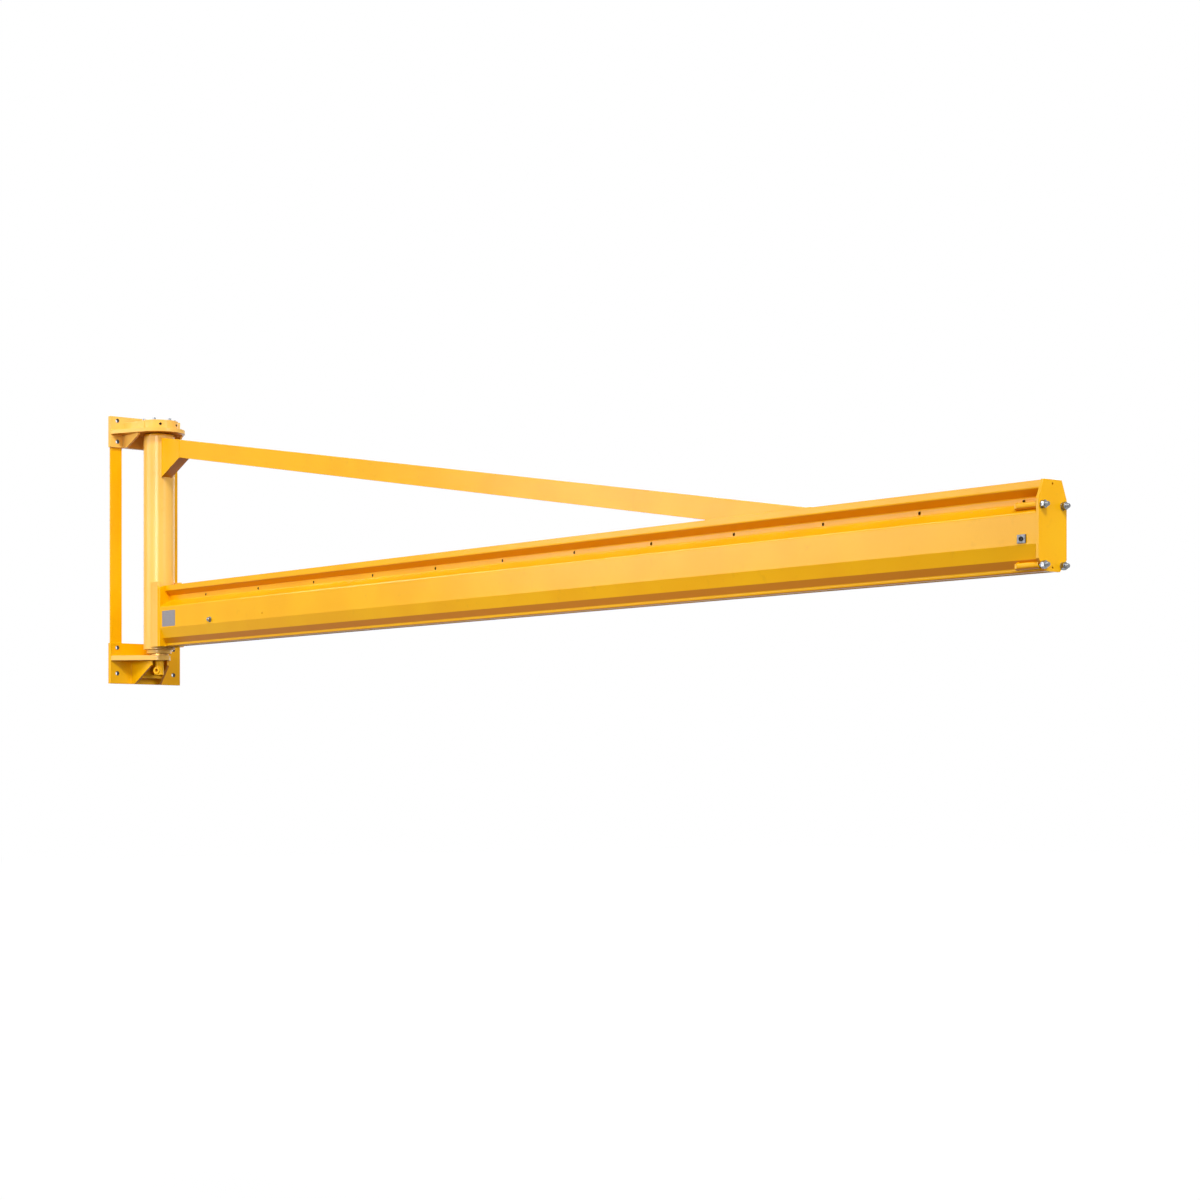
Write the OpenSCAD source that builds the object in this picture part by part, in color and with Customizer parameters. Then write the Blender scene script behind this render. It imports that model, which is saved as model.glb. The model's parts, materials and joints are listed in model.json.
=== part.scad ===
// Wall-mounted jib crane: a wall frame with two bearing brackets, and a jib that
// slews in them on a tubular column. The jib is an enclosed track beam held up by
// a sloping tie bar. +X points out of the wall, +Z up; the origin is on the back
// face of the lower wall plate, at its centre.

/* [Wall frame] */
// Width of both wall plates
plate_w = 410; // [380:5:460]
// Thickness of both wall plates
plate_t = 25; // [15:1:30]
// Height of the lower wall plate
lower_plate_h = 210; // [190:5:260]
// Height of the upper wall plate
upper_plate_h = 160; // [150:1:200]
// Width of each upright bar between the wall plates
bar_w = 65; // [40:1:80]
// Thickness of each upright bar
bar_t = 12; // [8:1:15]
// Distance from the middle of the frame to the middle of each bar and bolt column
bolt_y = 165; // [150:1:170]
// Diameter of the anchor bolt holes
bolt_hole_d = 22; // [14:1:26]
// Height between the two rows of anchor holes in the lower plate
lower_bolt_pitch = 133; // [100:1:140]
// Height between the two rows of anchor holes in the upper plate
upper_bolt_pitch = 108; // [90:1:110]
// Distance from the lower plate's upper row of holes to its top edge
lower_bolt_edge = 24; // [20:1:40]
// Distance from the upper plate's upper row of holes to its top edge
upper_bolt_edge = 22; // [20:1:30]

/* [Brackets] */
// Distance from the wall to the slewing axis
pivot_x = 165; // [160:1:190]
// Thickness of the lower bracket's shelf
lower_shelf_t = 25; // [15:1:30]
// Thickness of the upper bracket's shelf
upper_shelf_t = 20; // [15:1:25]
// Radius of the lower shelf's nose
lower_nose_r = 58; // [55:1:70]
// Radius of the upper shelf's nose
upper_nose_r = 132; // [125:1:140]
// Distance that each shelf stops short of the wall plate's ends
shelf_inset = 2; // [0:1:20]
// Height of the lower shelf's underside above the middle of the lower wall plate
lower_shelf_z = 14; // [5:1:25]
// Height between the undersides of the two shelves
shelf_rise = 1170; // [1000:10:1400]
// Thickness of the gussets
gusset_t = 12; // [8:1:16]
// Distance from the middle to each lower gusset's outer face, at the wall plate
lower_gusset_y = 84; // [75:1:95]
// Length of the lower gussets, out from the wall plate
lower_gusset_run = 153; // [120:1:160]
// Angle that the lower gussets lean in towards the axis
lower_gusset_turn = 11.5; // [4:0.5:14]
// Distance from the middle to each upper gusset's outer face
upper_gusset_y = 130; // [110:1:131]
// Length of the upper gussets, out from the wall plate
upper_gusset_run = 152; // [120:1:155]
// Thickness of the stiffener between the lower gussets
stiffener_t = 15; // [8:1:20]
// Depth of the stiffener, out from the wall plate
stiffener_d = 65; // [30:1:70]
// Height of the side ribs and of the bearing ring on the upper shelf
ring_h = 44; // [40:1:60]
// Outer diameter of the bearing ring
ring_d = 196; // [190:1:210]
// Thickness of the side ribs
rib_t = 12; // [8:1:15]
// Diameter of the adjusting holes through the bearing ring
adjust_hole_d = 14; // [8:1:16]
// Diameter of the boss under the lower shelf
boss_d = 48; // [40:1:60]
// Depth of the boss below the shelf
boss_h = 74; // [50:1:80]
// Diameter of the cross hole through the boss
boss_hole_d = 16; // [10:1:20]

/* [Bearings] */
// Diameter of the lower pivot pin
pin_d = 60; // [40:1:70]
// Diameter of the upper trunnion
trunnion_d = 70; // [50:1:80]
// Outer diameter of the bush round the trunnion
bush_d = 120; // [100:1:130]
// Outer diameter of the thrust washer
washer_d = 96; // [85:1:110]
// Thickness of the thrust washer
washer_t = 9.7; // [6:0.1:14]
// Radial clearance of the pin and the trunnion
running_clearance = 0.05; // [0.03:0.01:0.08]
// Clearance between pieces that seat on each other
seat_clearance = 0.2; // [0.1:0.05:0.3]

/* [Column] */
// Outer diameter of the column tube
column_d = 159; // [150:1:175]
// Wall of the column tube
column_wall = 8; // [6:1:10]
// Free height between the column's cap and the upper shelf
column_gap = 5; // [5:1:12]
// Diameter of the collar under the column
collar_d = 128; // [112:1:140]
// Height of the collar
collar_h = 21; // [12:1:30]

/* [Track beam] */
// Distance from the slewing axis to the outer face of the end plate
reach = 6055; // [5400:5:7000]
// Distance from the slewing axis to the track's root end
root_reach = 131; // [120:1:180]
// Width across the track's sides
track_w = 140; // [130:1:160]
// Sheet thickness of the track
track_wall = 5; // [4:0.5:7]
// Width of the track's head
head_w = 80; // [70:1:90]
// Height of the head's upright lips
head_h = 27; // [20:1:35]
// Height of the taper under the head
head_taper_h = 25; // [20:1:30]
// Width of the stem
stem_w = 28; // [24:1:34]
// Height of the stem
stem_h = 26; // [24:1:36]
// Height of the sloping shoulder under the stem
shoulder_h = 33; // [28:1:40]
// Height of the flat sides
side_h = 109; // [90:1:130]
// Height of the upper part of the belly, below the sides
belly_h = 50; // [40:1:60]
// Width at the knee of the belly
knee_w = 106; // [98:1:114]
// Height from the foot to the knee
knee_h = 28; // [22:1:34]
// Width across the foot
foot_w = 70; // [64:1:76]
// Height of the foot's upright sides
foot_h = 14; // [12:1:20]
// Width of the slot along the bottom
slot_w = 28; // [20:1:30]
// Outer radius of the track's folds
bend_r = 9; // [6:1:10]
// Gap between the column's foot and the underside of the track
track_lift = 10; // [5:1:30]
// Number of suspension holes in the stem
stem_holes = 12; // [6:1:12]
// Distance from one suspension hole to the next
stem_hole_pitch = 495; // [400:5:500]
// Distance from the slewing axis to the first suspension hole
stem_hole_start = 493; // [450:1:500]
// Diameter of the suspension holes
stem_hole_d = 13; // [8:1:16]

/* [Root and end plates] */
// Thickness of the plate on the track's root end
root_plate_t = 20; // [12:1:25]
// Thickness of the cheeks between the column and the root plate
root_cheek_t = 12; // [8:1:16]
// Height that the cheeks stand above the track's head
cheek_rise = 22; // [10:1:40]
// Thickness of the end plate
end_plate_t = 12; // [8:1:16]
// Distance that the end plate stands proud of the track
end_plate_lap = 1.5; // [1:0.5:4]
// Outer diameter of the bolt sleeves at the track's end
sleeve_d = 25; // [21:1:27]
// Length of the bolt sleeves
sleeve_l = 95; // [60:1:120]
// Diameter of the clamping bolt holes
sleeve_bore_d = 16.5; // [12:0.5:17]
// Diameter of the trolley stop's bolt near the root
root_stop_d = 12; // [10:1:20]
// Diameter of the trolley stop's bolt near the end
end_stop_d = 16; // [10:1:20]
// Distance from the middle to each upper bolt sleeve
upper_sleeve_y = 52.5; // [48:0.5:55]
// Distance from the middle to each lower bolt sleeve
lower_sleeve_y = 50; // [48:0.5:54]

/* [Tie bar] */
// Width of the tie bar
tie_w = 60; // [50:1:70]
// Height of the tie bar, square to its length
tie_h = 90; // [80:1:100]
// Wall of the tie bar
tie_wall = 5; // [3:0.5:6]
// Distance from the slewing axis to the tie bar's root
tie_root = 255; // [220:5:300]
// Distance from the slewing axis to where the tie bar's top meets the track
tie_reach = 4895; // [4000:5:5000]
// Drop from the column's top to the tie bar's top, at its root
tie_drop = 51; // [40:1:80]
// Drop of the cheeks' corner on the column below the tie bar's root
tie_cheek_drop = 84; // [60:1:140]
// Thickness of the cheeks that carry the tie bar, and of their stiffener
tie_cheek_t = 10; // [6:1:12]

/* [Hidden] */
$fn = 64;

yellow = "#f5b417";
steel = "#b9b9b4";
bronze = "#8a6a35";
eps = 1;                                   // how far a cutter runs past a face

// Heights
lower_plate_top = lower_plate_h / 2;
upper_shelf_z = lower_shelf_z + shelf_rise;
upper_plate_overlap = 67;                  // depth of the upper plate below its shelf
upper_plate_z = upper_shelf_z - upper_plate_overlap;
lower_shelf_top = lower_shelf_z + lower_shelf_t;
upper_shelf_top = upper_shelf_z + upper_shelf_t;
foot_z = lower_shelf_top + washer_t + seat_clearance;
column_z = foot_z + collar_h;
column_top = upper_shelf_z - column_gap;
track_z = column_z + track_lift;
track_h = foot_h + knee_h + belly_h + side_h + shoulder_h + stem_h + head_taper_h + head_h;
track_top = track_z + track_h;

// Brackets
shelf_half_w = plate_w / 2 - shelf_inset;
lower_shelf_right_w = 125;              // the lower shelf is cut back on its right side
lower_gusset_front_h = 25;
lower_gusset_toe = 25;                     // foot of each gusset, out from the wall plate
upper_gusset_front_h = 12;
upper_gusset_toe = 35;
stiffener_z = stiffener_t - lower_plate_h / 2 + 15;
rib_y = 130;                               // outer face of each side rib at the wall
cover_t = 8;
cover_r = ring_d / 2 - 10;
adjust_holes = 6;
adjust_turn = 34;                       // direction of the first adjusting hole
trunnion_top = upper_shelf_top + ring_h - cover_t - 6;
trunnion_room = 10;                        // round the trunnion, where it passes the upper shelf
cap_t = 10;
boss_ring_d = 36;                          // raised ring round the boss's cross hole
boss_ring_turn = -62;                      // the way the cross hole faces, seen from above
boss_ring_lift = 3;
boss_hole_z = boss_h * 0.3;

// Track
track_x = pivot_x + root_reach;
end_x = pivot_x + reach;
track_end_x = end_x - end_plate_t;
track_l = track_end_x - track_x;
stem_mid = track_top - head_h - head_taper_h - stem_h / 2;
side_mid = track_z + foot_h + knee_h + belly_h + side_h / 2;
shoulder_low = track_top - head_h - head_taper_h - stem_h - shoulder_h;
root_chamfer_h = 12;
// The upper sleeves lie on the sloping shoulder, the lower ones against the belly
shoulder_turn = atan2(shoulder_h, (track_w - stem_w) / 2);
upper_sleeve_z = shoulder_low + (track_w / 2 - upper_sleeve_y) * tan(shoulder_turn)
    + (sleeve_d / 2 + seat_clearance) / cos(shoulder_turn);
lower_sleeve_z = track_z + foot_h + knee_h / 4;
end_head_w = head_w + 12;
end_head_h = 66;
end_foot_w = 74;
end_foot_h = 42;
end_pilot_d = 8;
end_pilot_edge = 13;
stop_z = side_mid - 34;
root_stop_x = pivot_x + 627;
end_stop_x = end_x - 76;
stop_washer_t = 4;
stop_washer_r = 14;
stop_plate_t = 5;
stop_plate_w = 38;
stop_plate_h = 30;
spare_hole_x = pivot_x + 1113;          // a spare stop hole through both sides
spare_hole_z = side_mid - 28;
spare_hole_d = 10;
bend_steps = 3;
rib_proud = 4;                          // each side rib's face stands this far out of the ring
rib_step = 3;                           // and its top this far below the ring's

// Tie bar
tie_x = pivot_x + tie_root;
tie_top = column_top - tie_drop;
tie_angle = atan2(tie_top - track_top, tie_reach - tie_root);
tie_rise_h = tie_h / cos(tie_angle);       // the bar's height measured upright
tie_low = tie_top - tie_rise_h;

// Half of the track's outline, from the slot's edge up to the middle of the head
function half_section() = let (
    z1 = foot_h, z2 = z1 + knee_h, z3 = z2 + belly_h, z4 = z3 + side_h,
    z5 = z4 + shoulder_h, z6 = z5 + stem_h, z7 = z6 + head_taper_h, z8 = z7 + head_h
) [
    [slot_w / 2, 0], [foot_w / 2, 0], [foot_w / 2, z1], [knee_w / 2, z2],
    [track_w / 2, z3], [track_w / 2, z4], [stem_w / 2, z5], [stem_w / 2, z6],
    [head_w / 2, z7], [head_w / 2, z8]
];

// A corner between two straight lines, rounded to radius r in bend_steps chords
function bend(a, p, b, r) = let (
    u = unit(p - a), v = unit(b - p),
    turn = atan2(u[0] * v[1] - u[1] * v[0], u * v),
    start = p - r * tan(abs(turn) / 2) * u,
    centre = start + sign(turn) * r * left_of(u),
    arm = start - centre
) [
    for (k = [0:bend_steps]) let (t = turn * k / bend_steps)
        centre + [arm[0] * cos(t) - arm[1] * sin(t), arm[0] * sin(t) + arm[1] * cos(t)]
];

// The half outline as it is folded: every corner gets the sheet's outer bend radius
function folded_half() = let (p = half_section(), n = len(p)) [
    for (i = [0:n - 1])
        each i == 0 || i == n - 1 ? [p[i]] : bend(p[i - 1], p[i], p[i + 1], bend_r)
];

function mirrored(points) = [for (i = [len(points) - 1:-1:0]) [-points[i][0], points[i][1]]];
function backwards(points) = [for (i = [len(points) - 1:-1:0]) points[i]];
function unit(v) = v / norm(v);
function left_of(v) = [-v[1], v[0]];

// The open line through points, moved by t to its left with mitred corners
function moved(points, t) = [
    for (i = [0:len(points) - 1]) let (
        before = i > 0 ? left_of(unit(points[i] - points[i - 1])) : undef,
        after = i < len(points) - 1 ? left_of(unit(points[i + 1] - points[i])) : undef,
        a = is_undef(before) ? after : before,
        b = is_undef(after) ? before : after
    ) points[i] + t * (a + b) / (1 + a * b)
];

// A flat outline in X and Z, given a thickness along Y centred on y
module upright(y, t) {
    translate([0, y + t / 2, 0]) rotate([90, 0, 0]) linear_extrude(t) children();
}

// A flat outline in Y and Z, given a thickness along +X from x
module across(x, t) {
    translate([x, 0, 0]) rotate([90, 0, 90]) linear_extrude(t) children();
}

module anchor_holes(top, pitch) {
    for (y = [-bolt_y, bolt_y], z = [top, top - pitch])
        translate([-eps, y, z]) rotate([0, 90, 0])
            cylinder(d = bolt_hole_d, h = plate_t + 2 * eps);
}

module lower_wall_plate() {
    color(yellow) difference() {
        translate([0, -plate_w / 2, -lower_plate_h / 2])
            cube([plate_t, plate_w, lower_plate_h]);
        anchor_holes(lower_plate_top - lower_bolt_edge, lower_bolt_pitch);
    }
}

module upper_wall_plate() {
    color(yellow) difference() {
        translate([0, -plate_w / 2, upper_plate_z])
            cube([plate_t, plate_w, upper_plate_h]);
        anchor_holes(upper_plate_z + upper_plate_h - upper_bolt_edge, upper_bolt_pitch);
    }
}

module wall_bar(side) {
    color(yellow)
        translate([0, side * bolt_y - bar_w / 2, lower_plate_top])
            cube([bar_t, bar_w, upper_plate_z - lower_plate_top]);
}

// A shelf in plan: from the wall plate it tapers along tangents to a round nose
module shelf_outline(nose_r, left_w, right_w) {
    left = shelf_touch(nose_r, left_w);
    right = shelf_touch(nose_r, right_w);
    polygon([
        [plate_t, -left_w], [left[0], -left[1]], [pivot_x, 0],
        [right[0], right[1]], [plate_t, right_w]
    ]);
    translate([pivot_x, 0]) circle(nose_r);
}

// Where a shelf's straight edge, from w out on the wall plate, touches its round nose
function shelf_touch(nose_r, w) = let (
    run = pivot_x - plate_t,
    turn = atan2(w, run) - asin(nose_r / norm([run, w]))
) [pivot_x + nose_r * sin(turn), nose_r * cos(turn)];

module lower_shelf() {
    color(yellow) translate([0, 0, lower_shelf_z]) difference() {
        linear_extrude(lower_shelf_t)
            shelf_outline(lower_nose_r, shelf_half_w, lower_shelf_right_w);
        translate([pivot_x, 0, -eps])
            cylinder(d = pin_d + 2 * seat_clearance, h = lower_shelf_t + 2 * eps);
    }
}

module upper_shelf() {
    color(yellow) translate([0, 0, upper_shelf_z]) difference() {
        linear_extrude(upper_shelf_t)
            shelf_outline(upper_nose_r, shelf_half_w, shelf_half_w);
        translate([pivot_x, 0, -eps])
            cylinder(d = trunnion_d + 2 * trunnion_room, h = upper_shelf_t + 2 * eps);
    }
}

// A gusset under a shelf: its front end is square, then slopes back to the wall plate.
// It leans in by turn; y is its outer face at the wall plate.
module gusset(side, y, top, bottom, run, front_h, toe, turn) {
    color(yellow) intersection() {
        translate([plate_t, side * y, 0]) rotate([0, 0, -side * turn])
            upright(-side * gusset_t / 2, gusset_t) polygon([
                [-gusset_t, top], [run / cos(turn), top], [run / cos(turn), top - front_h],
                [toe / cos(turn), bottom], [-gusset_t, bottom]
            ]);
        translate([plate_t, -plate_w / 2, bottom])
            cube([plate_w, plate_w, top - bottom]);
    }
}

module lower_gusset(side) {
    gusset(side, lower_gusset_y, lower_shelf_z, -lower_plate_h / 2, lower_gusset_run,
        lower_gusset_front_h, lower_gusset_toe, lower_gusset_turn);
}

module upper_gusset(side) {
    gusset(side, upper_gusset_y, upper_shelf_z, upper_plate_z, upper_gusset_run,
        upper_gusset_front_h, upper_gusset_toe, 0);
}

// A flat stiffener on the wall plate, between the two lower gussets
module lower_stiffener() {
    inner = lower_gusset_y - gusset_t / cos(lower_gusset_turn);
    tip = inner - stiffener_d * tan(lower_gusset_turn);
    color(yellow) translate([plate_t, 0, stiffener_z]) linear_extrude(stiffener_t)
        polygon([[0, -inner], [stiffener_d, -tip], [stiffener_d, tip], [0, inner]]);
}

// The boss holds the pivot pin's foot; a cross hole with a raised ring takes its lock bolt
module pin_boss() {
    color(yellow) translate([pivot_x, 0, lower_shelf_z - boss_h]) difference() {
        union() {
            cylinder(d = boss_d, h = boss_h);
            translate([0, 0, boss_hole_z])
                rotate([0, 90, boss_ring_turn])
                    cylinder(d = boss_ring_d, h = boss_d / 2 + boss_ring_lift);
        }
        translate([0, 0, boss_hole_z])
            rotate([0, 90, boss_ring_turn])
                translate([0, 0, -boss_d])
                    cylinder(d = boss_hole_d, h = 2 * boss_d);
    }
}

// A rib that stands on the upper shelf, from the wall plate to the bearing ring
module upper_rib(side) {
    run = pivot_x - plate_t;
    away = norm([run, rib_y]);
    reach_r = ring_d / 2 + rib_proud;
    turn = atan2(rib_y, run) - asin(reach_r / away);
    touch = [reach_r * sin(turn), reach_r * cos(turn)];
    in = rib_t * [sin(turn), cos(turn)];
    color(yellow) translate([pivot_x, 0, upper_shelf_top]) linear_extrude(ring_h - rib_step)
        difference() {
            polygon([
                [-run, side * rib_y], [touch[0], side * touch[1]],
                [touch[0] - in[0], side * (touch[1] - in[1])],
                [-run, side * (rib_y - rib_t / cos(turn))]
            ]);
            circle(ring_d / 2);
        }
}

module bearing_ring() {
    color(yellow) translate([pivot_x, 0, upper_shelf_top]) difference() {
        cylinder(d = ring_d, h = ring_h);
        translate([0, 0, -eps]) cylinder(d = bush_d + 2 * seat_clearance, h = ring_h + 2 * eps);
        translate([0, 0, ring_h - cover_t])
            cylinder(r = cover_r + seat_clearance, h = cover_t + eps);
        for (i = [0:adjust_holes - 1])
            rotate([0, 0, adjust_turn + i * 360 / adjust_holes])
                translate([0, 0, ring_h / 2]) rotate([0, 90, 0])
                    cylinder(d = adjust_hole_d, h = ring_d / 2 + eps);
    }
}

module bearing_bush() {
    color(bronze) translate([pivot_x, 0, upper_shelf_top + seat_clearance]) difference() {
        cylinder(d = bush_d, h = ring_h - cover_t - 2 * seat_clearance);
        translate([0, 0, -eps])
            cylinder(d = trunnion_d + 2 * running_clearance, h = ring_h + eps);
    }
}

module ring_cover() {
    color(yellow) translate([pivot_x, 0, upper_shelf_top + ring_h - cover_t])
        cylinder(r = cover_r, h = cover_t);
}

module pivot_pin() {
    color(steel) translate([pivot_x, 0, lower_shelf_z])
        cylinder(d = pin_d, h = column_z + cap_t - lower_shelf_z);
}

module thrust_washer() {
    color(bronze) translate([pivot_x, 0, lower_shelf_top]) difference() {
        cylinder(d = washer_d, h = washer_t);
        translate([0, 0, -eps])
            cylinder(d = pin_d + 2 * seat_clearance, h = washer_t + 2 * eps);
    }
}

module column_tube() {
    color(yellow) translate([pivot_x, 0, column_z]) difference() {
        cylinder(d = column_d, h = column_top - column_z - cap_t);
        translate([0, 0, -eps])
            cylinder(d = column_d - 2 * column_wall, h = column_top - column_z);
    }
}

// The cap closes the tube's top and carries the trunnion
module column_cap() {
    color(yellow) translate([pivot_x, 0, column_top - cap_t]) {
        cylinder(d = column_d - column_wall, h = cap_t);
        cylinder(d = trunnion_d, h = trunnion_top - column_top + cap_t);
    }
}

// The foot is a plug in the tube with a collar under it, bored for the pivot pin
module column_foot() {
    plug_h = 40;
    color(yellow) translate([pivot_x, 0, foot_z]) difference() {
        union() {
            cylinder(d = collar_d, h = collar_h);
            translate([0, 0, collar_h])
                cylinder(d = column_d - 2 * column_wall - 2 * seat_clearance, h = plug_h);
        }
        translate([0, 0, -eps])
            cylinder(d = pin_d + 2 * running_clearance, h = collar_h + plug_h + 2 * eps);
    }
}

module root_cheek(side) {
    y = side * (track_w - root_cheek_t) / 2;
    color(yellow) difference() {
        upright(y, root_cheek_t)
            translate([pivot_x, track_z])
                square([root_reach - root_plate_t, track_h + cheek_rise]);
        translate([pivot_x, 0, track_z - eps])
            cylinder(d = column_d, h = track_h + cheek_rise + 2 * eps);
    }
}

module root_plate() {
    half = [[track_w / 2, 0], [track_w / 2, track_h - root_chamfer_h], [end_head_w / 2, track_h]];
    color(yellow) across(track_x - root_plate_t, root_plate_t)
        translate([0, track_z]) polygon(concat(half, mirrored(half)));
}

module track_outline() {
    half = folded_half();
    translate([0, track_z]) polygon(concat(half, mirrored(half)));
}

module stem_hole_row() {
    for (i = [0:stem_holes - 1])
        translate([pivot_x + stem_hole_start + i * stem_hole_pitch, stem_w, stem_mid])
            rotate([90, 0, 0]) cylinder(d = stem_hole_d, h = 2 * stem_w);
}

// The track is one folded sheet, open along the bottom for the trolley's hanger
module track_beam() {
    line = concat(folded_half(), mirrored(folded_half()));
    color(yellow) difference() {
        across(track_x, track_l) translate([0, track_z])
            polygon(concat(line, backwards(moved(line, track_wall))));
        stem_hole_row();
        side_hole(root_stop_x, stop_z, root_stop_d + 2 * seat_clearance);
        side_hole(end_stop_x, stop_z, end_stop_d + 2 * seat_clearance);
        side_hole(spare_hole_x, spare_hole_z, spare_hole_d);
    }
}

// End plate: wide across the track's sides, narrower at the head and the foot
module end_plate() {
    wide = track_w / 2 + end_plate_lap;
    top = track_h + end_plate_lap;
    half = [
        [end_foot_w / 2, 0], [wide, end_foot_h], [wide, top - end_head_h], [end_head_w / 2, top]
    ];
    color(yellow) difference() {
        across(track_end_x, end_plate_t)
            translate([0, track_z]) polygon(concat(half, mirrored(half)));
        for (s = [-1, 1]) {
            end_bolt_hole(s * upper_sleeve_y, upper_sleeve_z, sleeve_bore_d);
            end_bolt_hole(s * lower_sleeve_y, lower_sleeve_z, sleeve_bore_d);
        }
        for (z = [end_pilot_edge, track_h - end_pilot_edge])
            end_bolt_hole(0, track_z + z, end_pilot_d);
    }
}

module end_bolt_hole(y, z, d) {
    translate([track_end_x - eps, y, z]) rotate([0, 90, 0])
        cylinder(d = d, h = end_plate_t + 2 * eps);
}

// A sleeve for a clamping bolt, cut away where it would enter the track
module sleeve(y, z) {
    color(yellow) difference() {
        translate([track_end_x - sleeve_l, y, z]) rotate([0, 90, 0])
            cylinder(d = sleeve_d, h = sleeve_l);
        translate([track_end_x - sleeve_l - eps, y, z]) rotate([0, 90, 0])
            cylinder(d = sleeve_bore_d, h = sleeve_l + 2 * eps);
        across(track_end_x - sleeve_l - eps, sleeve_l + 2 * eps) track_outline();
    }
}

// One cheek of the box that carries the tie bar on the column
module tie_cheek(side) {
    y = side * (tie_w - tie_cheek_t) / 2;
    corner = tie_low - tie_cheek_drop;
    color(yellow) difference() {
        upright(y, tie_cheek_t) polygon([
            [pivot_x, tie_top + tie_root * tan(tie_angle)], [tie_x, tie_top],
            [tie_x, tie_low], [pivot_x + column_d / 2 - tie_wall, corner],
            [pivot_x, corner]
        ]);
        translate([pivot_x, 0, corner - eps])
            cylinder(d = column_d, h = tie_top - corner + tie_root);
    }
}

// The plate that closes the box's sloping underside, between the cheeks
module tie_stiffener() {
    corner_x = pivot_x + column_d / 2 - tie_wall;
    corner = tie_low - tie_cheek_drop;
    slope = unit([tie_x - corner_x, tie_low - corner]);
    in = tie_cheek_t * left_of(slope);
    color(yellow) difference() {
        upright(0, tie_w - 2 * tie_cheek_t) polygon([
            [corner_x, corner], [tie_x, tie_low],
            [tie_x, tie_low + tie_cheek_t / slope[0]],
            [corner_x + in[0] - tie_cheek_t, corner + in[1] - tie_cheek_t * slope[1] / slope[0]]
        ]);
        translate([pivot_x, 0, corner - tie_w])
            cylinder(d = column_d, h = tie_rise_h + 2 * tie_cheek_drop);
    }
}

// A long box along the tie bar's line, t inside its faces
module tie_box(t) {
    translate([tie_x, 0, tie_top]) rotate([0, tie_angle, 0])
        translate([-tie_h, t - tie_w / 2, t - tie_h])
            cube([tie_reach + 2 * tie_h, tie_w - 2 * t, tie_h - 2 * t]);
}

// A rectangular tube, cut upright at its root and level where it lands on the track
module tie_bar() {
    color(yellow) intersection() {
        difference() {
            tie_box(0);
            tie_box(tie_wall);
        }
        translate([tie_x, -tie_w, track_top]) cube([tie_reach, 2 * tie_w, tie_top - track_top]);
    }
}

module side_hole(x, z, d) {
    translate([x, track_w, z]) rotate([90, 0, 0]) cylinder(d = d, h = 2 * track_w);
}

// A trolley stop near the root: a bolt through both sides, with a washer on each
module root_stop_bolt() {
    color(steel) translate([root_stop_x, 0, stop_z]) rotate([90, 0, 0]) {
        cylinder(d = root_stop_d, h = track_w + stop_washer_t, center = true);
        for (s = [-1, 1]) translate([0, 0, s * (track_w + stop_washer_t) / 2])
            cylinder(r = stop_washer_r, h = stop_washer_t, center = true);
    }
}

// A trolley stop near the end: a bolt through both sides, with a square plate on each
module end_stop_bolt() {
    color(steel) translate([end_stop_x, 0, stop_z]) rotate([90, 0, 0]) {
        cylinder(d = end_stop_d, h = track_w + stop_plate_t, center = true);
        for (s = [-1, 1]) translate([0, 0, s * (track_w + stop_plate_t) / 2])
            cube([stop_plate_w, stop_plate_h, stop_plate_t], center = true);
    }
}

lower_wall_plate();
upper_wall_plate();
wall_bar(-1);  // left_wall_bar
wall_bar(1);  // right_wall_bar
lower_shelf();
lower_gusset(-1);  // lower_left_gusset
lower_gusset(1);  // lower_right_gusset
lower_stiffener();
pin_boss();
upper_shelf();
upper_gusset(-1);  // upper_left_gusset
upper_gusset(1);  // upper_right_gusset
upper_rib(-1);  // upper_left_rib
upper_rib(1);  // upper_right_rib
bearing_ring();
bearing_bush();
ring_cover();
pivot_pin();
thrust_washer();
column_tube();
column_cap();
column_foot();
root_cheek(-1);  // left_root_cheek
root_cheek(1);  // right_root_cheek
root_plate();
track_beam();
end_plate();
sleeve(-upper_sleeve_y, upper_sleeve_z);  // upper_left_sleeve
sleeve(upper_sleeve_y, upper_sleeve_z);  // upper_right_sleeve
sleeve(-lower_sleeve_y, lower_sleeve_z);  // lower_left_sleeve
sleeve(lower_sleeve_y, lower_sleeve_z);  // lower_right_sleeve
tie_cheek(-1);  // left_tie_cheek
tie_cheek(1);  // right_tie_cheek
tie_stiffener();
tie_bar();
root_stop_bolt();
end_stop_bolt();
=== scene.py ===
"""The looks of a wall-mounted jib crane.

Amber enamel covers the welded steelwork, with zinc on the bolts and nuts, weld
beads along the seams, and a bare foil label. Lengths are in metres, in the frame
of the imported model, and small sizes are written as millimetres times MM.
"""

import json
import logging
import math
from collections.abc import Sequence
from dataclasses import dataclass, field
from enum import Enum

import bmesh
import bpy
from mathutils import Matrix, Vector


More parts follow.
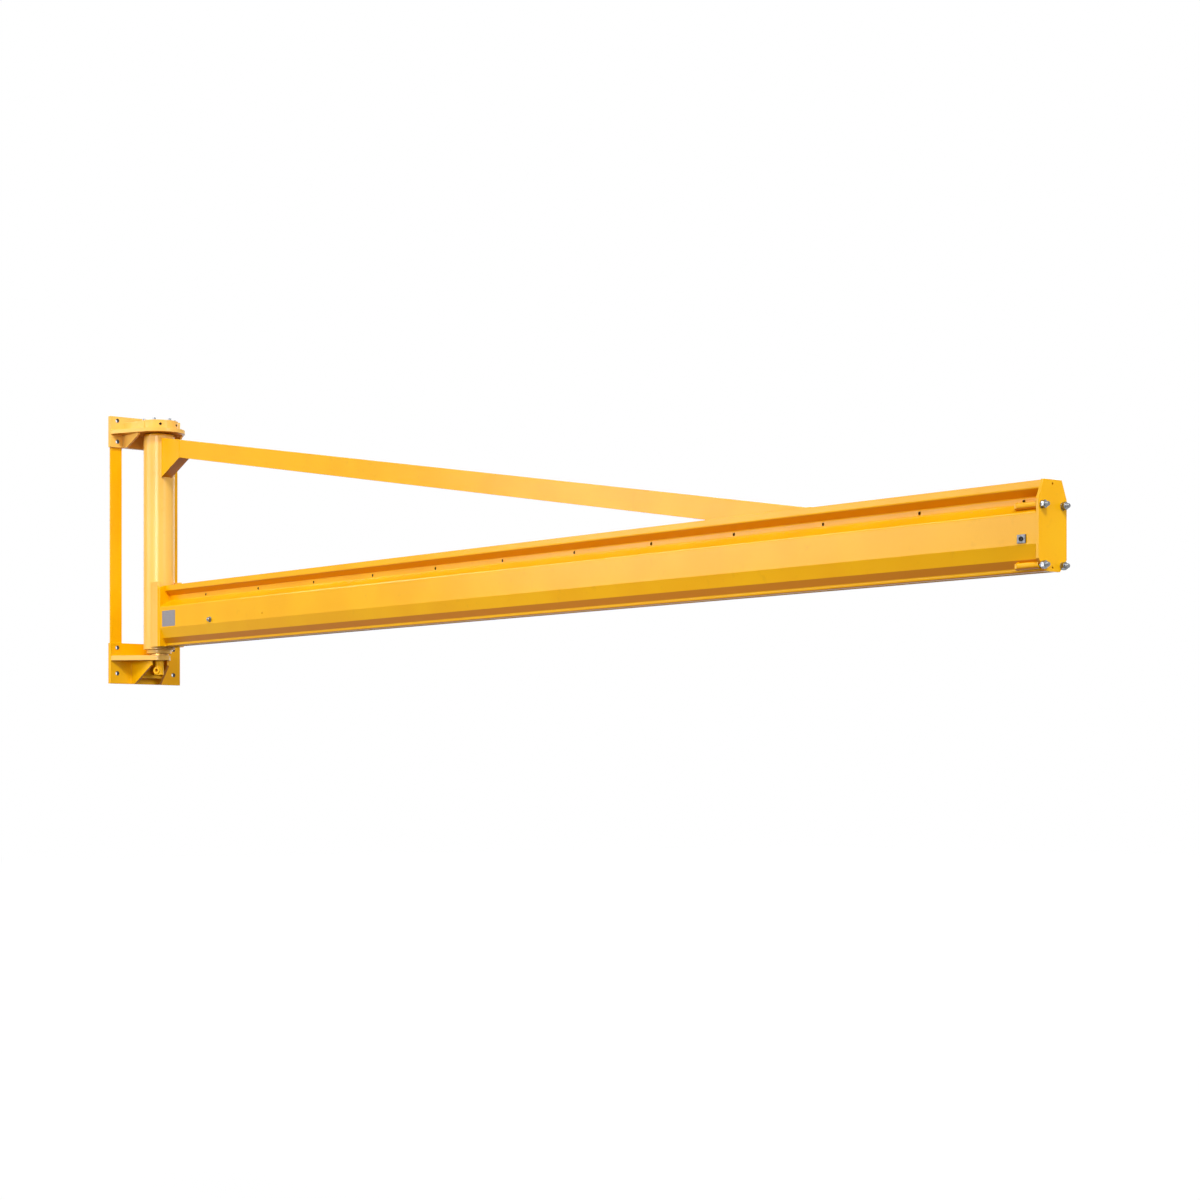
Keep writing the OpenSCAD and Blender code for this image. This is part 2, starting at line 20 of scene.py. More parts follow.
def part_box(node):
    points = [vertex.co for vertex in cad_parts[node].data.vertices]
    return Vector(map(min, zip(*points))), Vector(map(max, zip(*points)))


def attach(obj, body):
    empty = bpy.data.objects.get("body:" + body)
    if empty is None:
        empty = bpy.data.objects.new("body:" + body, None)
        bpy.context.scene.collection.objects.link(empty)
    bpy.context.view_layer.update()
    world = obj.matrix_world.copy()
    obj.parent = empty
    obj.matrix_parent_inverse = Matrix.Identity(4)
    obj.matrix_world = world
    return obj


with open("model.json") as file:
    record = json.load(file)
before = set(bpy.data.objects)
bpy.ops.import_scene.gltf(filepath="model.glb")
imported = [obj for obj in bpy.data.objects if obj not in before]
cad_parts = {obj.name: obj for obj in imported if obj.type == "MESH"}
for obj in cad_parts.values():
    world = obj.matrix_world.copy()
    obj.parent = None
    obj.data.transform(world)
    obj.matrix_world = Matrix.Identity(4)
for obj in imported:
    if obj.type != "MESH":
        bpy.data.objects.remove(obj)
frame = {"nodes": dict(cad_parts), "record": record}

LOG = logging.getLogger("jib_crane")
MM = 0.001

Tree = bpy.types.NodeTree
Socket = bpy.types.NodeSocket
BMesh = bmesh.types.BMesh
Pair = tuple[float, float]
Point = tuple[float, float, float]


class Body(Enum):
    """The two rigid bodies that a piece can ride on."""

    BRACKET = "bracket"
    JIB = "jib"


class Slot(Enum):
    """The record's material slots."""

    PAINT = "paint"
    STEEL = "steel"
    BRONZE = "bronze"


class Side(Enum):
    """The two sides of the crane, as signs along Y."""

    LEFT = -1
    RIGHT = 1


# ---- Colours, nodes and finishes ----

NOISE_MIDDLE: Pair = (0.3, 0.7)  # where most of a noise pattern's values lie


def linear(code: str) -> tuple[float, float, float, float]:
    """Turns a written colour into the renderer's linear light.

    Args:
        code: An sRGB colour as six hex digits.

    Returns:
        Linear red, green and blue, and a full alpha.
    """
    parts = [int(code[i : i + 2], 16) / 255 for i in (0, 2, 4)]
    lit = [p / 12.92 if p <= 0.04045 else ((p + 0.055) / 1.055) ** 2.4 for p in parts]
    return (lit[0], lit[1], lit[2], 1.0)


def add_node(
    tree: Tree, kind: str, inputs: dict[str | int, object] | None = None, **settings: object
) -> bpy.types.Node:
    """Adds a shader node with its settings, values and links.

    Args:
        tree: The node tree that gets the node.
        kind: The node's type name.
        inputs: Input to a value, or to the socket or the node that feeds it.
        **settings: Attributes of the node itself.

    Returns:
        The new node.
    """
    node = tree.nodes.new(kind)
    for name, value in settings.items():
        setattr(node, name, value)
    for name, value in (inputs or {}).items():
        source = value.outputs[0] if isinstance(value, bpy.types.Node) else value
        if isinstance(source, Socket):
            tree.links.new(source, node.inputs[name])
        else:
            node.inputs[name].default_value = source
    return node


def ramp_between(tree: Tree, factor: Socket, places: Pair, *codes: str) -> Socket:
    """Adds a ramp between two colours over a pattern.

    Args:
        tree: The node tree that gets the ramp.
        factor: The pattern that picks the colour.
        places: Where in the pattern, from 0 to 1, the ramp starts and ends.
        *codes: The two sRGB hex colours.

    Returns:
        The ramp's colour socket.
    """
    node = add_node(tree, "ShaderNodeValToRGB", {"Fac": factor})
    for element, place, code in zip(node.color_ramp.elements, places, codes, strict=True):
        element.position = place
        element.color = linear(code)
    return node.outputs["Color"]


def ranged(tree: Tree, value: Socket, given: Pair, wanted: Pair) -> Socket:
    """Maps a range of values to another, and holds what lies beyond it at its ends.

    Args:
        tree: The node tree that gets the range node.
        value: The value to map.
        given: Two of its values.
        wanted: What those two become.

    Returns:
        The mapped value's socket.
    """
    names = ("From Min", "From Max", "To Min", "To Max")
    limits = dict(zip(names, (*given, *wanted), strict=True))
    return add_node(tree, "ShaderNodeMapRange", {"Value": value, **limits}).outputs["Result"]


def tinted(tree: Tree, amount: Socket, base: Socket, code: str) -> Socket:
    """Mixes one even colour into a colour pattern.

    Args:
        tree: The node tree that gets the mix.
        amount: How much of the even colour shows, from 0 to 1.
        base: The colour pattern.
        code: The even colour in sRGB hex.

    Returns:
        The mixed colour's socket.
    """
    inputs = {"Factor": amount, 6: base, 7: linear(code)}
    return add_node(tree, "ShaderNodeMix", inputs, data_type="RGBA").outputs[2]


@dataclass(frozen=True)
class Finish:
    """A surface as its maker leaves it. Subclasses say what is special to them."""

    title: str

    def inputs(self, tree: Tree) -> dict[str, object]:
        """Says what feeds the shader; each subclass does it for its own surface."""
        raise NotImplementedError

    def material(self) -> bpy.types.Material:
        """Makes the material on first use.

        Returns:
            The one material of this finish's title.
        """
        found = bpy.data.materials.get(self.title)
        if found is not None:
            return found
        made = bpy.data.materials.new(self.title)
        made.use_nodes = True
        tree = made.node_tree
        tree.nodes.clear()
        shader = add_node(tree, "ShaderNodeBsdfPrincipled", self.inputs(tree))
        add_node(tree, "ShaderNodeOutputMaterial", {"Surface": shader})
        return made

    @staticmethod
    def noise(
        tree: Tree, size: float, detail: float = 2.0, stretch: Point | None = None
    ) -> Socket:
        """Adds a noise pattern whose blotches are about size across.

        Args:
            tree: The node tree that gets the pattern.
            size: The blotches' size in metres.
            detail: Octaves of finer noise on top.
            stretch: Scale along each axis, to draw the blotches out.

        Returns:
            The pattern's value socket.
        """
        place = add_node(tree, "ShaderNodeTexCoord").outputs["Object"]
        if stretch is not None:
            place = add_node(tree, "ShaderNodeMapping", {"Vector": place, "Scale": stretch})
        inputs = {"Vector": place, "Scale": 1 / size, "Detail": detail}
        return add_node(tree, "ShaderNodeTexNoise", inputs).outputs["Fac"]


@dataclass(frozen=True)
class AmberEnamel(Finish):
    """Two-pack enamel, sprayed on shot-blasted steel.

    The eye gets an even, saturated amber with a soft sheen: slow drifts in depth
    between the passes of the gun, a fine orange peel, and a little grime. Faces that
    look down are painted a deeper orange: painted shade.
    """

    colour: str = "FCBA04"
    thick_coat: str = "F9B302"
    grime: str = "DD9A08"
    # painted shade: a deeper orange for faces that look down
    painted_underside_shade: str = "D68203"
    pass_width: float = 260 * MM
    pass_detail: float = 1.0
    pass_blend: Pair = (0.35, 0.65)
    grime_patch: float = 45 * MM
    grime_detail: float = 6.0
    grime_onset: Pair = (0.62, 0.8)
    grime_most: float = 0.3
    underside_shade_range: Pair = (-0.36, -0.5)  # the normal's Z where the painted underside shade starts and is full
    roughness: Pair = (0.22, 0.24)
    peel: float = 7 * MM  # the real 2 mm is too fine to show, so it is drawn coarser
    peel_strength: float = 0.04
    peel_depth: float = 1 * MM
    refraction: float = 1.5
    gloss: float = 0.13

    def inputs(self, tree: Tree) -> dict[str, object]:
        """Makes the amber colour, the sheen and the orange peel.

        Args:
            tree: The material's node tree.

        Returns:
            The shader's inputs with what feeds them.
        """
        passes = self.noise(tree, self.pass_width, self.pass_detail)
        coat = ramp_between(tree, passes, self.pass_blend, self.thick_coat, self.colour)
        patch = self.noise(tree, self.grime_patch, self.grime_detail)
        grimy = ranged(tree, patch, self.grime_onset, (0.0, self.grime_most))
        coat = tinted(tree, grimy, coat, self.grime)
        normal = add_node(tree, "ShaderNodeTexCoord").outputs["Normal"]
        upward = add_node(tree, "ShaderNodeSeparateXYZ", {"Vector": normal}).outputs["Z"]
        # painted shade: the deeper orange comes in as the normal turns downwards
        underside_shade_amount = ranged(tree, upward, self.underside_shade_range, (0.0, 1.0))
        peel = {
            "Height": self.noise(tree, self.peel),
            "Strength": self.peel_strength,
            "Distance": self.peel_depth,
        }
        return {
            "Base Color": tinted(tree, underside_shade_amount, coat, self.painted_underside_shade),
            "Roughness": ranged(tree, patch, NOISE_MIDDLE, self.roughness),
            "IOR": self.refraction,
            "Specular IOR Level": self.gloss,
            "Normal": add_node(tree, "ShaderNodeBump", peel),
        }


@dataclass(frozen=True)
class BareMetal(Finish):
    """Metal without paint, where one pattern sets both tone and roughness.

    Attributes:
        low: Colour in the pattern's low parts.
        high: Colour in its high parts.
        blend: Where in the pattern, from 0 to 1, the one gives way to the other.
        grain: Size of the pattern.
        detail: Octaves of finer noise in it.
        roughness: Roughness in the low parts and in the high ones.
        metallic: 1 for clean metal, and less under oil or lacquer.
        stretch: Scale along each axis, where the pattern is drawn out.
    """

    low: str
    high: str
    blend: Pair
    grain: float
    detail: float
    roughness: Pair
    metallic: float = 1.0
    stretch: Point | None = None

    def inputs(self, tree: Tree) -> dict[str, object]:
        """Makes the pattern, and the tone and roughness that follow it.

        Args:
            tree: The material's node tree.

        Returns:
            The shader's inputs with what feeds them.
        """
        grain = self.noise(tree, self.grain, self.detail, self.stretch)
        rough, smooth = self.roughness
        if rough != smooth:
            rough = ranged(tree, grain, NOISE_MIDDLE, self.roughness)
        return {
            "Base Color": ramp_between(tree, grain, self.blend, self.low, self.high),
            "Roughness": rough,
            "Metallic": self.metallic,
        }


@dataclass(frozen=True)
class PlatedZinc(BareMetal):
    """Bright zinc plate on bolts and nuts: cool grey metal, slightly cloudy."""

    low: str = "76787B"
    high: str = "96989A"
    blend: Pair = (0.35, 0.62)
    grain: float = 9 * MM
    detail: float = 4.0
    roughness: Pair = (0.34, 0.2)


@dataclass(frozen=True)
class TurnedMetal(BareMetal):
    """Lathe-turned bearing metal: fine rings of tool marks square to the Z axis."""

    low: str = "8C6530"
    high: str = "B88A4A"
    blend: Pair = (0.3, 0.7)
    grain: float = 1.5 * MM
    detail: float = 1.0
    roughness: Pair = (0.4, 0.32)
    stretch: Point | None = (0.05, 0.05, 1.0)


@dataclass(frozen=True)
class BlackOxide(BareMetal):
    """Oil-blackened steel: nearly black and rubbed in spots, with a dull oily sheen."""

    low: str = "1B1A1A"
    high: str = "35322F"
    blend: Pair = (0.5, 0.75)
    grain: float = 4 * MM
    detail: float = 3.0
    roughness: Pair = (0.42, 0.42)
    metallic: float = 0.6


@dataclass(frozen=True)
class LabelFoil(BareMetal):
    """Satin anodised aluminium foil: an even grey with a fine brushing along X."""

    low: str = "817D82"
    high: str = "8F8B8F"
    blend: Pair = (0.35, 0.65)
    grain: float = 1.2 * MM
    detail: float = 2.0
    roughness: Pair = (0.5, 0.42)
    metallic: float = 0.25
    stretch: Point | None = (0.04, 1.0, 1.0)


ENAMEL = AmberEnamel("amber_two_pack_enamel")
# A paler copy of the amber enamel: painted sheen on the parts that catch the light's reflection,
# with painted shade underneath as in the plain enamel.
SHEEN_PAINTED_ENAMEL = AmberEnamel(
    "amber_enamel_painted_sheen",
    colour="FBC560",
    thick_coat="F9C058",
    grime="E0A440",
    painted_underside_shade="DE9A33",
)
ZINC = PlatedZinc("bright_zinc_plate")
DULL_ZINC = PlatedZinc("dull_zinc_plate", low="6A6C70", high="84868A", roughness=(0.54, 0.44))
BRONZE = TurnedMetal("turned_bearing_bronze")
PIN_STEEL = TurnedMetal("turned_pin_steel", low="8F9193", high="C4C5C6", roughness=(0.32, 0.24))
BLACKED = BlackOxide("blackened_screw_steel")
# painted shade: the near-black colour of the linings inside the bolt holes
BORE_SHADE = BlackOxide("painted_bore_shade", low="21170E", high="2E2317")
FOIL = LabelFoil("satin_label_foil")


# ---- Mesh tools ----

MERGE_GAP = 0.005 * MM
CUT_GAP = 0.0001 * MM


def turned_to(direction: Vector) -> Matrix:
    """The rotation that takes +Z to a direction."""
    return direction.to_track_quat("Z", "Y").to_matrix().to_4x4()


def level_way(angle: float) -> Vector:
    """The level direction at an angle from +X."""
    return Vector((math.cos(angle), math.sin(angle), 0))


def finish_piece(
    bm: BMesh,
    name: str,
    body: Body,
    finish: Finish,
    smooth_below: float = math.radians(35),
) -> None:
    """Turns a bmesh into a piece that rides on a body.

    Args:
        bm: The finished shape; it is freed here.
        name: The piece's name.
        body: The body that it moves with.
        finish: Its surface.
        smooth_below: Edges flatter than this angle are shaded smooth.
    """
    bmesh.ops.recalc_face_normals(bm, faces=bm.faces)
    for face in bm.faces:
        face.smooth = True
    for edge in bm.edges:
        edge.smooth = len(edge.link_faces) == 2 and edge.calc_face_angle(0.0) < smooth_below
    mesh = bpy.data.meshes.new(name)
    bm.to_mesh(mesh)
    bm.free()
    mesh.materials.append(finish.material())
    piece = bpy.data.objects.new(name, mesh)
    bpy.context.scene.collection.objects.link(piece)
    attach(piece, body.value)
    LOG.info("%s: %d faces", name, len(mesh.polygons))


def placed(bm: BMesh, before: set, at: Vector, facing: Vector) -> None:
    """Turns new vertices from +Z to facing and moves them to their place.

    Args:
        bm: The mesh that holds them.
        before: The vertices that aren't new, and stay.
        at: Where the origin of the new ones goes.
        facing: Where their +Z goes.
    """
    new = [v for v in bm.verts if v not in before]
    bmesh.ops.transform(bm, matrix=Matrix.Translation(at) @ turned_to(facing), verts=new)


def spun(bm: BMesh, outline: Sequence[Pair], at: Vector, facing: Vector, steps: int) -> None:
    """Turns an outline round an axis into a closed solid.

    Args:
        bm: The mesh that gets it.
        outline: Radius and height of each corner, from the axis back to the axis.
        at: The point of the axis where heights start.
        facing: The axis's direction.
        steps: Segments in the full turn.
    """
    before = set(bm.verts)
    verts = [bm.verts.new((radius, 0.0, height)) for radius, height in outline]
    edges = [bm.edges.new(pair) for pair in zip(verts, verts[1:], strict=False)]
    bmesh.ops.spin(
        bm,
        geom=[*verts, *edges],
        cent=(0, 0, 0),
        axis=(0, 0, 1),
        angle=math.tau,
        steps=steps,
        use_merge=True,
    )
    made = [v for v in bm.verts if v not in before]
    bmesh.ops.remove_doubles(bm, verts=made, dist=MERGE_GAP)
    placed(bm, before, at, facing)


@dataclass(frozen=True)
class Disc:
    """A turned disc, such as a washer, or a screw head with its socket.

    Attributes:
        radius: Its radius.
        height: Its height.
        edge: The chamfer round its top.
        bore: Radius of the socket in its top, or 0 where there is none.
        depth: The socket's depth.
        tip: How much deeper the socket is on its axis.
        sides: Segments round it.
    """

    radius: float
    height: float
    edge: float
    bore: float = 0.0
    depth: float = 0.0
    tip: float = 0.0
    sides: int = 32

    def build(self, bm: BMesh, at: Vector, facing: Vector) -> None:
        """Stands the disc on a point.

        Args:
            bm: The mesh that gets it.
            at: The middle of its underside.
            facing: Where its top looks.
        """
        top = self.height
        outline = [(0, 0), (self.radius, 0), (self.radius, top - self.edge)]
        outline.append((self.radius - self.edge, top))
        if self.bore:
            floor = top - self.depth
            outline += [(self.bore, top), (self.bore, floor), (0, floor - self.tip)]
        else:
            outline.append((0, top))
        spun(bm, outline, at, facing, self.sides)


@dataclass(frozen=True)
class Hexagon:
    """A hexagonal nut or bolt head, with the turned chamfer of a real one.

    Attributes:
        across: Width across the flats.
        height: Height of the hexagon.
        both_ends: True where both ends are chamfered, as on a nut.
        chamfer: The chamfer's angle.
        uncut: Radius that the chamfer leaves flat, as a share of the inner radius.
    """

    across: float
    height: float
    both_ends: bool = True
    chamfer: float = math.radians(30)
    uncut: float = 0.97

    def build(self, bm: BMesh, at: Vector, facing: Vector) -> None:
        """Stands the hexagon on a point.

        Args:
            bm: The mesh that gets it.
            at: The middle of its underside.
            facing: Where its top looks.
        """
        before = set(bm.verts)
        corner = self.across / math.sqrt(3)
        bmesh.ops.create_cone(
            bm,
            cap_ends=True,
            segments=6,
            radius1=corner,
            radius2=corner,
            depth=self.height,
            matrix=Matrix.Translation((0, 0, self.height / 2)),
        )
        ends = [(self.height, 1.0)] + ([(0.0, -1.0)] if self.both_ends else [])
        for height, up in ends:
            for step in range(6):
                self._cut_corner(bm, before, math.radians(60 * step), height, up)
        placed(bm, before, at, facing)

    def _cut_corner(self, bm: BMesh, before: set, angle: float, height: float, up: float) -> None:
        """Cuts the chamfer on one corner of an end.

        Args:
            bm: The mesh that holds the hexagon.
            before: Vertices that were there before it.
            angle: The corner's direction.
            height: The end's height.
            up: 1 for the upper end and -1 for the lower.
        """
        out = level_way(angle)
        normal = out * math.sin(self.chamfer) + Vector((0, 0, up * math.cos(self.chamfer)))
        on_cut = out * (self.across / 2 * self.uncut) + Vector((0, 0, height))
        geom = [
            g
            for group in (bm.verts, bm.edges, bm.faces)
            for g in group
            if not (set([g] if isinstance(g, bmesh.types.BMVert) else g.verts) & before)
        ]
        cut = bmesh.ops.bisect_plane(
            bm, geom=geom, dist=CUT_GAP, plane_co=on_cut, plane_no=normal, clear_outer=True
        )
        rim = [e for e in cut["geom_cut"] if isinstance(e, bmesh.types.BMEdge)]
        bmesh.ops.holes_fill(bm, edges=rim, sides=0)


@dataclass(frozen=True)
class Thread:
    """A threaded rod end, with its grooves cut as rings.

    Attributes:
        diameter: Outer diameter.
        length: Length along +Z.
        pitch: Distance from groove to groove.
        groove: Depth of a groove, as a share of the pitch.
        tip: Radius of the rod's end, as a share of the radius in a groove.
        sides: Segments round it.
    """

    diameter: float
    length: float
    pitch: float
    groove: float = 0.61
    tip: float = 0.82
    sides: int = 20

    def build(self, bm: BMesh, at: Vector, facing: Vector) -> None:
        """Stands the rod on a point.

        Args:
            bm: The mesh that gets it.
            at: Where it starts.
            facing: Where it points.
        """
        crest = self.diameter / 2
        root = crest - self.groove * self.pitch
        turns = max(1, int(self.length / self.pitch) - 1)
        outline = [(0.0, 0.0), (root, 0.0)]
        for turn in range(turns):
            outline.append((crest, (turn + 0.5) * self.pitch))
            outline.append((root, (turn + 1.0) * self.pitch))
        outline += [(root, self.length - 0.5 * self.pitch), (root * self.tip, self.length)]
        outline.append((0.0, self.length))
        spun(bm, outline, at, facing, self.sides)


@dataclass(frozen=True)
class Bead:
    """A weld bead with the ripples of its solidified pool.

    Attributes:
        radius: Radius of the bead.
        ripple: Distance from one ripple to the next.
        sides: Corners of its section.
        start: Radius of its start, as a share of the radius.
        swell: How much a ripple stands out from the next low.
    """

    radius: float = 4.5 * MM
    ripple: float = 7 * MM
    sides: int = 8
    start: float = 0.8
    swell: float = 1.12

    def along(self, bm: BMesh, path: Sequence[Sequence[float]], closed: bool = False) -> None:
        """Lays the bead along a path by extruding its section from step to step.

        Args:
            bm: The mesh that gets it.
            path: Corners of the path.
            closed: True where the path returns to its start.
        """
        corners = [Vector(corner) for corner in ([*path, path[0]] if closed else path)]
        route = self._steps(corners)
        heading = (route[1] - route[0]).normalized()
        made = bmesh.ops.create_circle(
            bm,
            segments=self.sides,
            radius=self.radius * self.start,
            cap_ends=True,
            matrix=Matrix.Translation(route[0]) @ turned_to(heading),
        )
        ring = list({e for v in made["verts"] for e in v.link_edges})
        for index, (here, there) in enumerate(zip(route, route[1:], strict=False)):
            grown = bmesh.ops.extrude_edge_only(bm, edges=ring)
            verts = [g for g in grown["geom"] if isinstance(g, bmesh.types.BMVert)]
            ring = [g for g in grown["geom"] if isinstance(g, bmesh.types.BMEdge)]
            ring = [e for e in ring if all(v in set(verts) for v in e.verts)]
            ahead = route[min(index + 2, len(route) - 1)] - here
            turn = heading.rotation_difference(ahead.normalized()).to_matrix().to_4x4()
            heading = ahead.normalized()
            swell = Matrix.Scale(self.swell if index % 2 == 0 else 1 / self.swell, 4)
            step = Matrix.Translation(there) @ turn @ swell @ Matrix.Translation(-here)
            bmesh.ops.transform(bm, matrix=step, verts=verts)
        bmesh.ops.contextual_create(bm, geom=ring)

    def _steps(self, corners: Sequence[Vector]) -> list[Vector]:
        """Divides a path into half ripples.

        Args:
            corners: The path's corners.

        Returns:
            Points half a ripple apart, with every corner among them.
        """
        points = [corners[0]]
        for start, end in zip(corners, corners[1:], strict=False):
            parts = max(1, round((end - start).length / (self.ripple / 2)))
            points += [start.lerp(end, part / parts) for part in range(1, parts + 1)]
        return points


def circle_path(centre: Vector, radius: float, parts: int = 72) -> list[Vector]:
    """Lists points of a level circle, in order."""
    return [centre + level_way(math.tau * part / parts) * radius for part in range(parts)]


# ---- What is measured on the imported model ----


@dataclass(frozen=True)
class Extent:
    """The box of a CAD node, with plain names for its parts."""

    low: Vector
    high: Vector

    @classmethod
    def of(cls, node: str) -> "Extent":
        """Reads a CAD node's box."""
        low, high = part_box(node)
        return cls(low, high)

    @property
    def middle(self) -> Vector:
        """The box's centre."""
        return (self.low + self.high) / 2

    @property
    def size(self) -> Vector:
        """The box's three sides."""
        return self.high - self.low

    @property
    def side(self) -> int:
        """The sign of the side of the crane that the box is on."""
        return -1 if self.middle.y < 0 else 1

    @property
    def outer(self) -> float:
        """Y of the face that looks away from the crane's middle plane."""
        return self.low.y if self.side < 0 else self.high.y

    @property
    def inner(self) -> float:
        """Y of the face that looks to the crane's middle plane."""
        return self.high.y if self.side < 0 else self.low.y

    def across(self, x: float, z: float) -> list[Point]:
        """The ends of a level line over the box's width."""
        return [(x, self.low.y, z), (x, self.high.y, z)]


# ---- Sub-assemblies ----


@dataclass
class Steelwork:
    """The carried-over CAD nodes: each gets its finish and softly broken edges."""

    usual: dict[Slot, Finish] = field(
        default_factory=lambda: {Slot.PAINT: ENAMEL, Slot.STEEL: ZINC, Slot.BRONZE: BRONZE}
    )
    special: dict[Finish, tuple[str, ...]] = field(
        default_factory=lambda: {
            PIN_STEEL: ("pivot_pin",),
            DULL_ZINC: ("root_stop_bolt", "end_stop_bolt"),
            # parts given the paler enamel copy, as painted sheen
            SHEEN_PAINTED_ENAMEL: (
                "column_tube", "column_foot", "lower_shelf", "upper_shelf", "bearing_ring",
                "left_root_cheek", "right_root_cheek", "upper_wall_plate",
                "upper_left_gusset", "upper_right_gusset", "upper_left_rib", "upper_right_rib",
            ),
        }
    )
    merge_gap: float = 0.002 * MM
    flat_angle: float = math.radians(0.5)
    edge_break: float = 1.2 * MM
    edge_steps: int = 2
    sharp_angle: float = math.radians(28)
    flat_weight: int = 100

    def dress(self) -> None:
        """Gives every CAD node its finish, and breaks its sharp edges."""
        for part in frame["record"]["subparts"]:
            name = part["node"]
            node = frame["nodes"][name]
            special = [finish for finish, names in self.special.items() if name in names]
            finish = special[0] if special else self.usual[Slot(part["material_slot"])]
            node.data.materials.clear()
            node.data.materials.append(finish.material())
            self._break_edges(node)
            LOG.info("%s: %s", name, finish.title)

    def _break_edges(self, node: bpy.types.Object) -> None:
        """Joins the node's triangles into faces and bevels the sharp edges.

        Args:
            node: The CAD node's object.
        """
        weld = node.modifiers.new("joined_faces", "WELD")
        weld.merge_threshold = self.merge_gap
        flat = node.modifiers.new("whole_faces", "DECIMATE")
        flat.decimate_type = "DISSOLVE"
        flat.angle_limit = self.flat_angle
        broken = node.modifiers.new("broken_edges", "BEVEL")
        broken.width = self.edge_break
        broken.segments = self.edge_steps
        broken.limit_method = "ANGLE"
        broken.angle_limit = self.sharp_angle
        broken.use_clamp_overlap = True
        even = node.modifiers.new("even_flats", "WEIGHTED_NORMAL")
        even.mode = "FACE_AREA"
        even.weight = self.flat_weight
        even.keep_sharp = True


@dataclass
class ClampingBolts:
    """The four long bolts that hold the end plate, with washers and nuts outside."""

    head: Hexagon = Hexagon(25 * MM, 10 * MM, both_ends=False)
    nut: Hexagon = Hexagon(25 * MM, 13 * MM)
    washer: Disc = Disc(13.5 * MM, 2 * MM, 0.4 * MM)
    rod: float = 16 * MM
    rod_sides: int = 20
    pitch: float = 2 * MM
    reach: float = 29 * MM  # from the end plate to the bolt's end

    def build(self) -> None:
        """Makes one bolt for each sleeve."""
        face = Extent.of("end_plate").high.x
        for level in ("upper", "lower"):
            for side in Side:
                self._bolt(f"{level}_{side.name.lower()}_sleeve", face)

    def _bolt(self, sleeve: str, face: float) -> None:
        """Makes one bolt with its head, washer, nut and threaded end.

        Args:
            sleeve: The sleeve that it goes through. The axis is found from the
                sleeve's outermost side.
            face: The end plate's outer face, under the washer.
        """
        box = Extent.of(sleeve)
        y, z = box.outer - box.side * box.size.z / 2, box.middle.z
        back = Vector((box.low.x, y, z))
        out = Vector((1, 0, 0))
        bm = bmesh.new()
        self.head.build(bm, back, -out)
        finish_piece(bm, sleeve.replace("sleeve", "bolt_head"), Body.JIB, ENAMEL)
        bm = bmesh.new()
        radius, length = self.rod / 2, face - box.low.x
        shank = [(0, 0), (radius, 0), (radius, length), (0, length)]
        spun(bm, shank, back, out, self.rod_sides)
        self.washer.build(bm, Vector((face, y, z)), out)
        seat = face + self.washer.height
        self.nut.build(bm, Vector((seat, y, z)), out)
        end = Thread(self.rod, self.reach - self.washer.height - self.nut.height, self.pitch)
        end.build(bm, Vector((seat + self.nut.height, y, z)), out)
        finish_piece(bm, sleeve.replace("sleeve", "clamping_bolt"), Body.JIB, ZINC)


@dataclass
class BearingScrews:
    """The adjusting screws in the bearing ring, and the screws of its cover."""

    count: int = 6
    ring_turn: float = math.radians(34)
    thread_radius: float = 6.8 * MM
    grub_length: float = 20 * MM
    recess: float = 12 * MM  # from the ring's face down to the grub screw
    shade_lining_depth: float = 0.4 * MM  # from the ring's face down to the dark lining, painted shade in the hole
    # wall of the dark lining round the grub screw: painted shade in its hole
    rim: float = 0.5 * MM
    socket: float = 3 * MM  # its inner radius
    socket_depth: float = 4 * MM
    socket_tip: float = 1 * MM
    grub_sides: int = 18
    cover_turn: float = math.radians(12)
    cover_circle: float = 80 * MM
    washer: Disc = Disc(10 * MM, 2 * MM, 0.4 * MM)
    head: Disc = Disc(
        8 * MM, 10 * MM, 0.8 * MM, bore=4.2 * MM, depth=5 * MM, tip=0.5 * MM, sides=24
    )

    def build(self) -> None:
        """Makes the adjusting screws and the cover's screws."""
        ring = Extent.of("bearing_ring")
        for index in range(self.count):
            self._adjusting_screw(ring, index)
            self._cover_screw(ring, index)

    def _adjusting_screw(self, ring: Extent, index: int) -> None:
        """Makes one grub screw, sunk in its hole, with a dark lining round it as painted shade in
        the hole.

        Args:
            ring: The bearing ring's box.
            index: Which of the screws.
        """
        out = level_way(self.ring_turn + math.tau * index / self.count)
        outer, inner = self.thread_radius, self.thread_radius - self.rim
        top = self.grub_length
        shade_lining_top = top + self.recess - self.shade_lining_depth
        floor = top - self.socket_depth
        outline = [(0, 0), (outer, 0), (outer, shade_lining_top), (inner, shade_lining_top), (inner, top)]
        outline += [(self.socket, top), (self.socket, floor), (0, floor - self.socket_tip)]
        start = ring.size.x / 2 - self.recess - top
        bm = bmesh.new()
        spun(bm, outline, ring.middle + out * start, out, self.grub_sides)
        finish_piece(bm, f"adjusting_screw_{index + 1}", Body.BRACKET, BLACKED)

    def _cover_screw(self, ring: Extent, index: int) -> None:
        """Makes one socket-head screw on the cover.

        Args:
            ring: The bearing ring's box.
            index: Which of the screws.
        """
        out = level_way(self.cover_turn + math.tau * index / self.count)
        place = ring.middle + out * self.cover_circle
        place.z = ring.high.z
        up = Vector((0, 0, 1))
        bm = bmesh.new()
        self.washer.build(bm, place, up)
        self.head.build(bm, place + up * self.washer.height, up)
        finish_piece(bm, f"cover_screw_{index + 1}", Body.BRACKET, ZINC)


